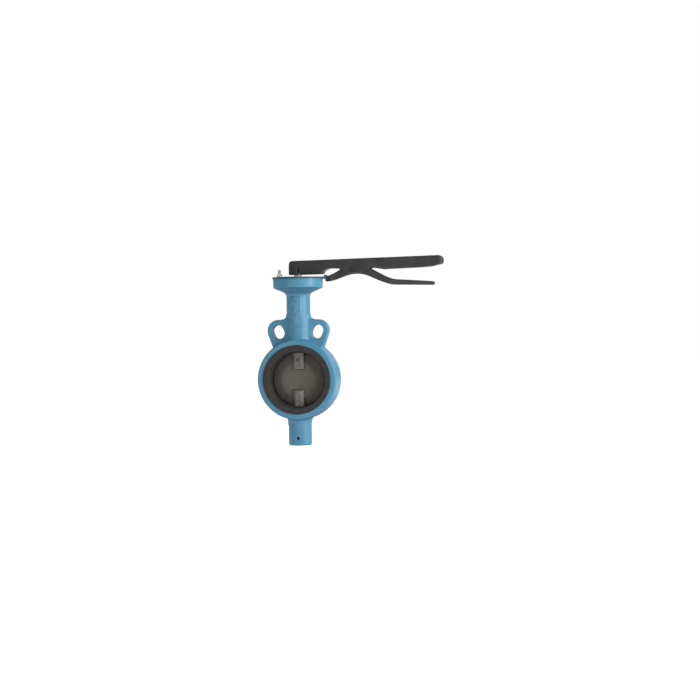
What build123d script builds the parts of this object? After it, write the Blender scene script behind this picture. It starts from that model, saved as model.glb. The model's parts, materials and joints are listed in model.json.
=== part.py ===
from build123d import *
from math import cos, radians, sin
import os

# Wafer butterfly valve, DN 80, with a notched hand lever. Millimetres.
# Origin: centre of the bore. +Z runs up the stem to the lever, Y is the pipe axis,
# and the closed lever points along +X.

# ---- driving dimensions: ring and liner -------------------------------------
ring_r = 60.3
ring_width = 43.0
ring_edge = 3.0
ring_bore_r = 46.0
ring_overlap = 0.2
liner_rib_r = 48.5
liner_rib_width = 10.0
lip_r = 52.0
lip_height = 1.5
lip_edge = 0.6
mouth_r = 43.5
seat_r = 40.8
seat_width = 28.0
hub_flat_z = 40.6
hub_flat_r = 12.0
mouth_edge = 1.2
flare_edge = 6.0

# ---- driving dimensions: ears -----------------------------------------------
ear_thickness = 15.0
slot_pitch_r = 78.0
slot_angle = 22.5
slot_width = 17.0
slot_length = 21.5
lobe_r = 16.0
lobe_x = 30.8
lobe_z = 74.4
flank_foot = (36.6, 44.0)
flank_bend = (39.8, 51.0)
flank_top = (46.5, 69.8)
shoulder_z = 91.3
shoulder_fillet = 6.0
shoulder_band = 7.0
foot_fillet = 5.0

# ---- driving dimensions: necks and top flange -------------------------------
neck_r = 17.8
lower_neck_r = 17.6
neck_root_z = 30.0
neck_bottom_z = -99.0
neck_bottom_edge = 2.5
lower_web_z = -67.5
lower_web_fillet = 7.0
lower_web_inset = 0.1
flange_r = 37.5
flange_top_z = 152.0
flange_cone_z = 138.4
neck_cone_z = 129.8
neck_cone_fillet = 8.0
flange_cone_fillet = 4.0
flange_edge = 1.2
bolt_circle_r = 57.15 / 2
bolt_hole_r = 2.75
spot_face_r = 6.5
spot_face_z = 138.0

# ---- driving dimensions: stems and what carries them ------------------------
stem_r = 6.3
running_clearance = 0.05
thread_clearance = 0.03
socket_fit = 0.1
pin_edge = 0.4
cutter_margin = 1.0
bushing_r = 9.0
gland_floor_z = 119.0
gland_ring_r = 7.68
gland_ring_section_r = 1.3
gland_ring_low = 1.45
gland_ring_high = 4.35
top_bushing_z = 125.0
recess_floor_z = 148.6
recess_r = 13.0
shaft_way_r = 7.2
mid_bushing_bottom_z = 48.7
mid_bushing_top_z = 60.0
upper_stem_bottom_z = 18.0
upper_stem_top_z = 171.0
drive_square = 9.5
drive_square_z = 156.0
stem_edge = 0.8
thrust_thickness = 1.5
thrust_rim_gap = 0.4
thrust_bore_gap = 0.2
circlip_r = 9.4
clip_eye_x = 8.6
clip_eye_y = 2.9
clip_eye_r = 1.9
groove_offset = 1.7
groove_width = 1.2
groove_depth = 0.5
circlip_thickness = 1.1
circlip_eye_wall = 1.1
lower_stem_top_z = -20.5
lower_stem_bottom_z = -92.5
lower_ring_z = -72.0
lower_ring_section_r = 0.77
lower_ring_inset = 0.75
lower_groove_width = 2.4
lower_groove_depth = 1.6
lower_pin_z = -88.0
lower_pin_r = 2.2
lower_pin_back_y = 11.5
lower_pin_length = 20.0
lower_pin_end_gap = 0.5
plug_top_z = -93.0
plug_inset = 0.6
plug_length = 5.2
plug_socket_r = 4.0
plug_socket_depth = 3.2

# ---- driving dimensions: disc -----------------------------------------------
disc_r = 40.5
disc_rim_half = 2.2
disc_rim_in = 1.2
disc_rim_rise = 0.9
disc_plateau_r = 26.0
disc_plateau_half = 6.5
plateau_fillet = 6.0
boss_edge = 1.0
boss_inner_z = 16.2
boss_outer_z = 40.3
boss_half_width = 8.5
boss_shoulder_y = 7.0
boss_face_half_width = 4.5
boss_face_y = 10.5
taper_pin_z = 30.0
taper_pin_r = 2.5
taper_pin_inset = 0.3
disc_bush_r = 7.5
disc_bush_end_gap = 0.1
disc_bush_cover = 1.0

# ---- driving dimensions: notch plate ----------------------------------------
plate_thickness = 2.5
plate_r = 39.0
sector_r = 44.5
sector_margin = 9.0
notch_pitch = 15.0
notch_count = 7
notch_width = 5.4
notch_root_r = 39.9
notch_cut = 10.0
notch_corner = 0.8
plate_bore_gap = 0.5
plate_top_z = flange_top_z + plate_thickness

# ---- driving dimensions: lever and trigger ----------------------------------
lever_hub_r = 13.8
lever_hub_bottom_z = 158.0
lever_hub_top = (-13.0, 178.6)
lever_hub_fillet = 6.5
lever_hub_foot = (39.4, 158.4)
arch_front = (41.6, 163.4)
arch_front_fillet = 2.0
lever_end_x = 222.0
lever_end_top_z = 182.3
lever_end_bottom_z = 170.0
lever_end_fillet = 7.0
lever_lip_fillet = 3.5
set_screw_z = 164.5
socket_top_z = 171.5
slit_x = 3.2
slit_width = 2.4
slit_top_z = 168.0
lever_half_width = 11.0
grip_half_width = 10.0
grip_start_x = 150.0
grip_heel = (206.0, 166.2)
grip_heel_fillet = 30.0
grip_under_back = (190.0, 164.9)
grip_under_front = (131.0, 163.4)
grip_under_end = (118.0, 165.8)
finger_arch = (49.0, 166.5)
finger_arch_fillet = 6.0
taper_start_x = 30.0
taper_end_x = 120.0
channel_half_width = 4.4
channel_start_x = 57.0
channel_end_x = 134.0
channel_ceiling_z = 174.0
pivot_x = 86.0
pivot_z = 164.5
pivot_r = 2.5
pivot_head_r = 3.2
pivot_head_thickness = 0.9
pivot_tail = 2.4
clip_groove_y = 1.3
clip_groove_width = 1.0
clip_groove_depth = 0.5
pivot_clip_y = 1.2
pivot_clip_r = 4.6
pivot_clip_thickness = 0.8
pivot_clip_bore_inset = 0.45
clip_mouth_width = 2.8
clip_mouth_height = 4.0
clip_mouth_z = 3.6
lug_root_front = (63.0, 168.0)
lug_side_front = (67.0, 163.8)
lug_front = (79.0, 158.6)
lug_back = (97.0, 158.6)
lug_side_back = (111.0, 163.8)
lug_root_back = (115.0, 168.0)
lug_fillet = 9.0
lug_inset = 0.1
trigger_half_thickness = 4.0
pawl_half_thickness = 2.4
pawl_length = 6.0
pawl_shoulder = 10.0
finger_half_width = 7.0
finger_flare_x = 130.0
finger_full_x = 144.0
bar_start_x = 153.0
bar_start_under_z = 139.8
bar_start_top_z = 147.8
bar_end_x = 205.4
bar_end_under_z = 138.4
bar_end_top_z = 143.9
bar_end_lean = 0.4
bar_end_r = 2.76
tooth_foot = (44.6, 146.5)
nose_x = 40.4
nose_top_z = 157.2
nose_bottom_z = 151.4
nose_step = 2.0
nose_step_z = 148.4
nose_depth = 3.6
shin_top = (64.7, 164.0)
shin_end = (45.4, 155.0)
hump_front_x = 75.0
hump_back_x = 109.5
hump_back = (113.5, 164.6)
spring_x = 105.0
spring_seat_z = 168.0
spring_pocket_z = 177.3
spring_r = 2.5
spring_wire_r = 0.4
spring_turns = 5
spring_pocket_gap = 0.4
spring_end_gap = 0.05

# ---- driving dimensions: M5 fasteners ---------------------------------------
fastener_r = 2.5
fastener_flats = 8.0
fastener_head = 3.5
fastener_nut = 4.0
fastener_washer_r = 5.0
fastener_washer = 1.0
fastener_washer_gap = 0.2
fastener_edge = 0.6
fastener_turn = 30.0
bolt_end_z = 166.2
screw_end_z = 131.5
screw_inset = 0.15
screw_head_relief = 0.2
screw_rim_relief = 0.1
screw_socket_depth = 2.0
hex_key = 1.5
set_screw_length = 7.6
set_screw_socket_r = 1.25
set_screw_socket_depth = 3.0

os.makedirs("parts", exist_ok=True)


def level_plane(x, y, z):
    """A plane through a point, facing up."""
    return Plane((x, y, z))


def front_plane(x, y, z):
    """A plane through a point, facing the front, with its own Y along Z."""
    return Plane((x, y, z), x_dir=(1, 0, 0), z_dir=(0, -1, 0))


def side_plane(x, y, z):
    """A plane through a point, facing along the lever."""
    return Plane((x, y, z), x_dir=(0, 1, 0), z_dir=(1, 0, 0))


def finish(piece, name):
    """Label a finished piece and write it as its own node."""
    piece.part.label = name
    export_step(piece.part, f"parts/{name}.step")


# ---- valve body: ring, ears, necks and top flange in one casting -------------
with BuildPart() as valve_body:
    with BuildSketch(Plane.XZ) as ring_face:
        Circle(ring_r)
    extrude(amount=ring_width / 2, both=True)
    with BuildSketch(Plane.XZ) as upper_neck_half:
        with BuildLine():
            Polyline(
                (0, neck_root_z),
                (neck_r, neck_root_z),
                (neck_r, neck_cone_z),
                (flange_r, flange_cone_z),
                (flange_r, flange_top_z),
                (0, flange_top_z),
                close=True,
            )
        make_face()
        neck_corner = upper_neck_half.vertices().sort_by_distance((neck_r, neck_cone_z, 0))[0]
        rim_corner = upper_neck_half.vertices().sort_by_distance((flange_r, flange_cone_z, 0))[0]
        top_corner = upper_neck_half.vertices().sort_by_distance((flange_r, flange_top_z, 0))[0]
        fillet(neck_corner, neck_cone_fillet)
        fillet(rim_corner, flange_cone_fillet)
        fillet(top_corner, flange_edge)
    revolve(axis=Axis.Z)
    with BuildSketch(Plane.XY.offset(neck_bottom_z)) as lower_neck_section:
        Circle(lower_neck_r)
    extrude(amount=-neck_bottom_z - neck_root_z)
    fillet(valve_body.edges().group_by(Axis.Z)[0], neck_bottom_edge)
    ring_edges = valve_body.faces().filter_by(Axis.Y).edges().filter_by(GeomType.CIRCLE)
    fillet(ring_edges, ring_edge)
    with BuildSketch(Plane.XZ) as ear_outline:
        Circle(ring_r - ring_overlap)
        with Locations((lobe_x, lobe_z)):
            Circle(lobe_r)
        with BuildLine():
            Polyline(
                (0, neck_root_z),
                flank_foot,
                flank_bend,
                flank_top,
                (lobe_x, lobe_z + lobe_r),
                (neck_r, shoulder_z),
                (neck_r, shoulder_z + shoulder_band),
                (0, shoulder_z + shoulder_band),
                close=True,
            )
        make_face()
        shoulder = ear_outline.vertices().sort_by_distance((neck_r, shoulder_z, 0))[0]
        fillet(shoulder, shoulder_fillet)
        foot = ear_outline.vertices().sort_by_distance((*flank_bend, 0))[0]
        fillet(foot, foot_fillet)
        mirror(about=Plane.YZ)
    extrude(amount=ear_thickness / 2, both=True)
    with BuildSketch(Plane.XZ) as lower_web:
        Circle(ring_r - ring_overlap)
        with Locations((0, lower_web_z)):
            Rectangle(2 * lower_neck_r - lower_web_inset, neck_root_z, align=(Align.CENTER, Align.MIN))
        corners = lower_web.vertices().filter_by(lambda v: -ring_r < v.Y < neck_root_z - ring_r)
        fillet(corners.filter_by(lambda v: abs(abs(v.X) - lower_neck_r) < 1), lower_web_fillet)
    extrude(amount=ear_thickness / 2, both=True)
    # bolt slots
    with BuildSketch(Plane.XZ) as slots:
        with PolarLocations(slot_pitch_r, 2, 90 - slot_angle, 2 * slot_angle, endpoint=True):
            SlotOverall(slot_length, slot_width)
    extrude(amount=ring_width, both=True, mode=Mode.SUBTRACT)
    # bore for the liner, with the groove for its rib
    with BuildSketch(Plane.XZ) as liner_bore:
        Circle(ring_bore_r)
    extrude(amount=ring_width, both=True, mode=Mode.SUBTRACT)
    with BuildSketch(Plane.XZ) as rib_groove:
        Circle(liner_rib_r)
    extrude(amount=liner_rib_width / 2, both=True, mode=Mode.SUBTRACT)
    # stem bores from the bottom up: plug, lower stem, middle bushing, shaft way, gland, recess
    with BuildSketch(Plane.XY.offset(neck_bottom_z)) as plug_bore:
        Circle(bushing_r)
    extrude(amount=plug_top_z - neck_bottom_z, mode=Mode.SUBTRACT)
    with BuildSketch(Plane.XY.offset(plug_top_z)) as lower_stem_bore:
        Circle(stem_r + running_clearance)
    extrude(amount=-plug_top_z, mode=Mode.SUBTRACT)
    with BuildSketch(Plane.XY) as mid_bushing_bore:
        Circle(bushing_r)
    extrude(amount=mid_bushing_top_z, mode=Mode.SUBTRACT)
    with BuildSketch(Plane.XY) as shaft_way:
        Circle(shaft_way_r)
    extrude(amount=gland_floor_z, mode=Mode.SUBTRACT)
    with BuildSketch(Plane.XY.offset(gland_floor_z)) as gland:
        Circle(bushing_r)
    extrude(amount=flange_top_z, mode=Mode.SUBTRACT)
    with BuildSketch(Plane.XY.offset(recess_floor_z)) as top_recess:
        Circle(recess_r)
    extrude(amount=flange_top_z, mode=Mode.SUBTRACT)
    # pin hole through the front wall of the lower neck
    with BuildSketch(front_plane(0, lower_pin_back_y + lower_pin_end_gap, lower_pin_z)) as pin_hole:
        Circle(lower_pin_r)
    extrude(amount=2 * lower_neck_r, mode=Mode.SUBTRACT)
    # four flange holes, with spot faces under the two that hold the notch plate
    with BuildSketch(Plane.XY.offset(spot_face_z)) as spot_faces:
        with PolarLocations(bolt_circle_r, 2, 90, 90, endpoint=True):
            Circle(spot_face_r)
    extrude(amount=neck_cone_z - spot_face_z, mode=Mode.SUBTRACT)
    with BuildSketch(Plane.XY.offset(flange_top_z)) as flange_holes:
        with PolarLocations(bolt_circle_r, 4):
            Circle(bolt_hole_r)
    extrude(amount=neck_cone_z - flange_top_z, mode=Mode.SUBTRACT)
finish(valve_body, "valve_body")

# ---- seat liner: moulded rubber sleeve with a lip on each face --------------
with BuildPart() as seat_liner:
    with BuildSketch(Plane.XY) as liner_half:
        with BuildLine():
            Polyline(
                (seat_r, 0),
                (seat_r, seat_width / 2),
                (mouth_r, ring_width / 2 + lip_height),
                (lip_r, ring_width / 2 + lip_height),
                (lip_r, ring_width / 2),
                (ring_bore_r, ring_width / 2),
                (ring_bore_r, liner_rib_width / 2),
                (liner_rib_r, liner_rib_width / 2),
                (liner_rib_r, 0),
                close=True,
            )
        make_face()
        lip_corner = liner_half.vertices().sort_by_distance((lip_r, ring_width / 2 + lip_height, 0))[0]
        fillet(lip_corner, lip_edge)
        mouth = liner_half.vertices().sort_by_distance((mouth_r, ring_width / 2 + lip_height, 0))[0]
        fillet(mouth, mouth_edge)
        flare = liner_half.vertices().sort_by_distance((seat_r, seat_width / 2, 0))[0]
        fillet(flare, flare_edge)
        mirror(about=Plane.XZ)
    revolve(axis=Axis.Y)
    with BuildSketch(Plane.XY) as hub_flats:
        Circle(hub_flat_r)
    extrude(amount=hub_flat_z, both=True, mode=Mode.SUBTRACT)
    with BuildSketch(Plane.XY) as stem_holes:
        Circle(stem_r + running_clearance)
    extrude(amount=ring_r, both=True, mode=Mode.SUBTRACT)
finish(seat_liner, "seat_liner")

# ---- valve disc: flat middle, conical flanks, faceted hub at top and bottom --
with BuildPart() as valve_disc:
    with BuildSketch(Plane.XY) as disc_half:
        with BuildLine():
            Polyline(
                (0, 0),
                (disc_r, 0),
                (disc_r, disc_rim_half),
                (disc_r - disc_rim_in, disc_rim_half + disc_rim_rise),
                (disc_plateau_r, disc_plateau_half),
                (0, disc_plateau_half),
                close=True,
            )
        make_face()
        plateau_edge = disc_half.vertices().sort_by_distance((disc_plateau_r, disc_plateau_half, 0))[0]
        fillet(plateau_edge, plateau_fillet)
        mirror(about=Plane.XZ)
    revolve(axis=Axis.Y)
    with BuildSketch(Plane.XY.offset(boss_inner_z), Plane.XY.offset(-boss_outer_z)) as boss_section:
        with BuildLine():
            Polyline(
                (boss_half_width, 0),
                (boss_half_width, boss_shoulder_y),
                (boss_face_half_width, boss_face_y),
                (-boss_face_half_width, boss_face_y),
                (-boss_half_width, boss_shoulder_y),
                (-boss_half_width, 0),
                close=True,
            )
        make_face()
        mirror(about=Plane.XZ)
        fillet(boss_section.vertices(), boss_edge)
    extrude(amount=boss_outer_z - boss_inner_z)
    boss_ends = valve_disc.faces().filter_by(Axis.Z)
    inner_ends = boss_ends.filter_by(lambda f: abs(f.center().Z) < boss_inner_z + cutter_margin)
    crown_edges = inner_ends.edges().filter_by(lambda e: abs(e.center().Y) > boss_shoulder_y + 0.5)
    fillet(crown_edges, boss_edge)
    with BuildSketch(Plane.XY.offset(upper_stem_bottom_z)) as upper_socket:
        Circle(stem_r + running_clearance)
    extrude(amount=disc_r, mode=Mode.SUBTRACT)
    with BuildSketch(Plane.XY.offset(lower_stem_top_z + disc_bush_cover)) as lower_socket:
        Circle(disc_bush_r)
    extrude(amount=-disc_r, mode=Mode.SUBTRACT)
    with BuildSketch(front_plane(0, 0, taper_pin_z)) as taper_pin_hole:
        Circle(taper_pin_r)
    extrude(amount=boss_face_y + cutter_margin, both=True, mode=Mode.SUBTRACT)
finish(valve_disc, "valve_disc")

# ---- upper stem: round shaft with a circlip groove and a square drive end ----
with BuildPart() as upper_stem:
    with BuildSketch(Plane.XY.offset(upper_stem_bottom_z)) as stem_round:
        Circle(stem_r)
    extrude(amount=upper_stem_top_z - upper_stem_bottom_z)
    with BuildSketch(Plane.XY.offset(drive_square_z)) as drive_cut:
        Circle(stem_r + cutter_margin)
        Rectangle(drive_square, drive_square, mode=Mode.SUBTRACT)
    extrude(amount=upper_stem_top_z - drive_square_z, mode=Mode.SUBTRACT)
    with BuildSketch(Plane.XY.offset(recess_floor_z + groove_offset)) as circlip_groove:
        Circle(stem_r + cutter_margin)
        Circle(stem_r - groove_depth, mode=Mode.SUBTRACT)
    extrude(amount=groove_width, mode=Mode.SUBTRACT)
    with BuildSketch(front_plane(0, 0, taper_pin_z)) as stem_pin_hole:
        Circle(taper_pin_r)
    extrude(amount=stem_r + cutter_margin, both=True, mode=Mode.SUBTRACT)
    chamfer(upper_stem.faces().sort_by(Axis.Z)[0].edges(), stem_edge)
    chamfer(upper_stem.faces().sort_by(Axis.Z)[-1].edges(), stem_edge)
finish(upper_stem, "upper_stem")

# ---- disc taper pin: driven in flush with the front face of the hub ---------
with BuildPart() as disc_taper_pin:
    with BuildSketch(front_plane(0, boss_face_y - taper_pin_inset, taper_pin_z)) as pin_end:
        Circle(taper_pin_r - running_clearance)
    extrude(amount=2 * (boss_face_y - taper_pin_inset))
    chamfer(disc_taper_pin.edges().filter_by(GeomType.CIRCLE), pin_edge)
finish(disc_taper_pin, "disc_taper_pin")

# ---- lower stem: fixed trunnion that the lower hub of the disc turns on -----
with BuildPart() as lower_stem:
    with BuildSketch(Plane.XY.offset(lower_stem_bottom_z)) as lower_round:
        Circle(stem_r)
    extrude(amount=lower_stem_top_z - lower_stem_bottom_z)
    chamfer(lower_stem.edges().filter_by(GeomType.CIRCLE), stem_edge)
    with BuildSketch(Plane.XY.offset(lower_ring_z - lower_groove_width / 2)) as ring_groove:
        Circle(stem_r + cutter_margin)
        Circle(stem_r - lower_groove_depth, mode=Mode.SUBTRACT)
    extrude(amount=lower_groove_width, mode=Mode.SUBTRACT)
    with BuildSketch(front_plane(0, stem_r + cutter_margin, lower_pin_z)) as cross_hole:
        Circle(lower_pin_r)
    extrude(amount=2 * (stem_r + cutter_margin), mode=Mode.SUBTRACT)
finish(lower_stem, "lower_stem")

# ---- lower stem O-ring ------------------------------------------------------
with BuildPart() as lower_stem_o_ring:
    with BuildSketch(Plane.XZ) as lower_ring_section:
        with Locations((stem_r - lower_ring_inset, lower_ring_z)):
            Circle(lower_ring_section_r)
    revolve(axis=Axis.Z)
finish(lower_stem_o_ring, "lower_stem_o_ring")

# ---- lower stem pin: locks the trunnion, sits below the surface of the neck --
with BuildPart() as lower_stem_pin:
    with BuildSketch(front_plane(0, lower_pin_back_y, lower_pin_z)) as retaining_pin:
        Circle(lower_pin_r - running_clearance)
    extrude(amount=lower_pin_length)
    chamfer(lower_stem_pin.edges().filter_by(GeomType.CIRCLE), pin_edge)
finish(lower_stem_pin, "lower_stem_pin")

# ---- bottom plug with a hexagon socket --------------------------------------
with BuildPart() as bottom_plug:
    with BuildSketch(Plane.XY.offset(neck_bottom_z + plug_inset)) as plug_round:
        Circle(bushing_r - running_clearance)
    extrude(amount=plug_length)
    with BuildSketch(Plane.XY.offset(neck_bottom_z + plug_inset)) as plug_socket:
        RegularPolygon(plug_socket_r, 6, major_radius=False)
    extrude(amount=plug_socket_depth, mode=Mode.SUBTRACT)
    plug_rim = bottom_plug.faces().sort_by(Axis.Z)[0].edges().filter_by(GeomType.CIRCLE)
    chamfer(plug_rim, fastener_edge)
finish(bottom_plug, "bottom_plug")

# ---- bushings ---------------------------------------------------------------
with BuildPart() as top_bushing:
    with BuildSketch(Plane.XY.offset(top_bushing_z)) as top_bushing_ring:
        Circle(bushing_r)
        Circle(stem_r + running_clearance, mode=Mode.SUBTRACT)
    extrude(amount=recess_floor_z - top_bushing_z)
finish(top_bushing, "top_stem_bushing")

with BuildPart() as middle_bushing:
    with BuildSketch(Plane.XY.offset(mid_bushing_bottom_z)) as middle_bushing_ring:
        Circle(bushing_r)
        Circle(stem_r + running_clearance, mode=Mode.SUBTRACT)
    extrude(amount=mid_bushing_top_z - mid_bushing_bottom_z)
finish(middle_bushing, "middle_stem_bushing")

with BuildPart() as disc_bush:
    with BuildSketch(Plane.XY.offset(-boss_outer_z + disc_bush_end_gap)) as disc_bush_ring:
        Circle(disc_bush_r)
        Circle(stem_r + running_clearance, mode=Mode.SUBTRACT)
    extrude(amount=boss_outer_z + lower_stem_top_z)
finish(disc_bush, "disc_bush")

# ---- stem O-rings: a pair in the gland under the top bushing ----------------
with BuildPart() as stem_o_rings:
    with BuildSketch(Plane.XZ) as o_ring_sections:
        ring_heights = (gland_floor_z + gland_ring_low, gland_floor_z + gland_ring_high)
        with Locations([(gland_ring_r, height) for height in ring_heights]):
            Circle(gland_ring_section_r)
    revolve(axis=Axis.Z)
finish(stem_o_rings, "stem_o_rings")

# ---- thrust washer and circlip in the recess of the top flange --------------
with BuildPart() as thrust_washer:
    with BuildSketch(Plane.XY.offset(recess_floor_z)) as thrust_ring:
        Circle(recess_r - thrust_rim_gap)
        Circle(stem_r + thrust_bore_gap, mode=Mode.SUBTRACT)
    extrude(amount=thrust_thickness)
finish(thrust_washer, "thrust_washer")

with BuildPart() as stem_circlip:
    circlip_z = recess_floor_z + groove_offset + (groove_width - circlip_thickness) / 2
    with BuildSketch(Plane.XY.offset(circlip_z)) as circlip_ring:
        Circle(circlip_r)
        Circle(stem_r - groove_depth + running_clearance, mode=Mode.SUBTRACT)
        with Locations((stem_r, 0)):
            Rectangle(circlip_r, clip_eye_y, mode=Mode.SUBTRACT)
        with Locations((clip_eye_x, clip_eye_y), (clip_eye_x, -clip_eye_y)):
            Circle(clip_eye_r)
            Circle(clip_eye_r - circlip_eye_wall, mode=Mode.SUBTRACT)
    extrude(amount=circlip_thickness)
finish(stem_circlip, "stem_circlip")

# ---- notch plate: a quarter sector of notches for the trigger's tooth --------
with BuildPart() as notch_plate:
    with BuildSketch(Plane.XY.offset(flange_top_z)) as plate_outline:
        Circle(plate_r)
        with BuildLine():
            end = radians(90 + sector_margin)
            CenterArc((0, 0), sector_r, -sector_margin, 90 + 2 * sector_margin)
            sector_last = (sector_r * cos(end), sector_r * sin(end))
            start = radians(-sector_margin)
            sector_first = (sector_r * cos(start), sector_r * sin(start))
            Polyline(sector_last, (0, 0), sector_first)
        make_face()
        with PolarLocations(0, notch_count, 0, notch_pitch * (notch_count - 1), endpoint=True):
            with Locations((notch_root_r + notch_cut / 2, 0)):
                Rectangle(notch_cut, notch_width, mode=Mode.SUBTRACT)
        Circle(stem_r + plate_bore_gap, mode=Mode.SUBTRACT)
        with PolarLocations(bolt_circle_r, 4):
            Circle(bolt_hole_r, mode=Mode.SUBTRACT)
    extrude(amount=plate_thickness)
    with BuildSketch(Plane.XY.offset(plate_top_z)) as countersink_mouth:
        with Locations((0, bolt_circle_r)):
            Circle(bolt_hole_r + plate_thickness)
    extrude(amount=-plate_thickness, taper=45, mode=Mode.SUBTRACT)
    outer_edges = notch_plate.edges().filter_by(Axis.Z)
    corner_r = sector_r - notch_corner
    corners = outer_edges.filter_by(lambda e: Vector(e.center().X, e.center().Y).length > corner_r)
    fillet(corners, notch_corner)
finish(notch_plate, "notch_plate")

# ---- plate bolt, washer and nut, left of the lever hub -----------------------
with BuildPart() as plate_bolt:
    with BuildSketch(level_plane(-bolt_circle_r, 0, spot_face_z - fastener_head)) as bolt_head:
        RegularPolygon(fastener_flats / 2, 6, major_radius=False, rotation=fastener_turn)
    extrude(amount=fastener_head)
    with BuildSketch(level_plane(-bolt_circle_r, 0, spot_face_z)) as bolt_shank:
        Circle(fastener_r)
    extrude(amount=bolt_end_z - spot_face_z)
    chamfer(plate_bolt.faces().sort_by(Axis.Z)[-1].edges(), fastener_edge)
finish(plate_bolt, "plate_bolt")

with BuildPart() as plate_washer:
    with BuildSketch(level_plane(-bolt_circle_r, 0, plate_top_z)) as washer_ring:
        Circle(fastener_washer_r)
        Circle(fastener_r + fastener_washer_gap, mode=Mode.SUBTRACT)
    extrude(amount=fastener_washer)
finish(plate_washer, "plate_washer")

with BuildPart() as plate_nut:
    nut_plane = level_plane(-bolt_circle_r, 0, plate_top_z + fastener_washer)
    with BuildSketch(nut_plane) as nut_hexagon:
        RegularPolygon(fastener_flats / 2, 6, major_radius=False, rotation=fastener_turn)
        Circle(fastener_r + thread_clearance, mode=Mode.SUBTRACT)
    extrude(amount=fastener_nut)
finish(plate_nut, "plate_nut")

# ---- countersunk screw and nut at the back of the plate, under the lever's sweep
with BuildPart() as plate_screw:
    with BuildSketch(front_plane(0, bolt_circle_r, 0)) as screw_half:
        with BuildLine():
            Polyline(
                (0, screw_end_z),
                (fastener_r, screw_end_z),
                (fastener_r, plate_top_z - plate_thickness - screw_head_relief),
                (fastener_r + plate_thickness - screw_rim_relief, plate_top_z - screw_inset),
                (0, plate_top_z - screw_inset),
                close=True,
            )
        make_face()
    revolve(axis=Axis((0, bolt_circle_r, 0), (0, 0, 1)))
    with BuildSketch(level_plane(0, bolt_circle_r, plate_top_z)) as screw_socket:
        RegularPolygon(hex_key, 6, major_radius=False)
    extrude(amount=-screw_socket_depth, mode=Mode.SUBTRACT)
finish(plate_screw, "plate_screw")

with BuildPart() as screw_nut:
    nut_plane = level_plane(0, bolt_circle_r, spot_face_z - fastener_nut)
    with BuildSketch(nut_plane) as screw_nut_hexagon:
        RegularPolygon(fastener_flats / 2, 6, major_radius=False, rotation=fastener_turn)
        Circle(fastener_r + thread_clearance, mode=Mode.SUBTRACT)
    extrude(amount=fastener_nut)
finish(screw_nut, "screw_nut")

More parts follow.
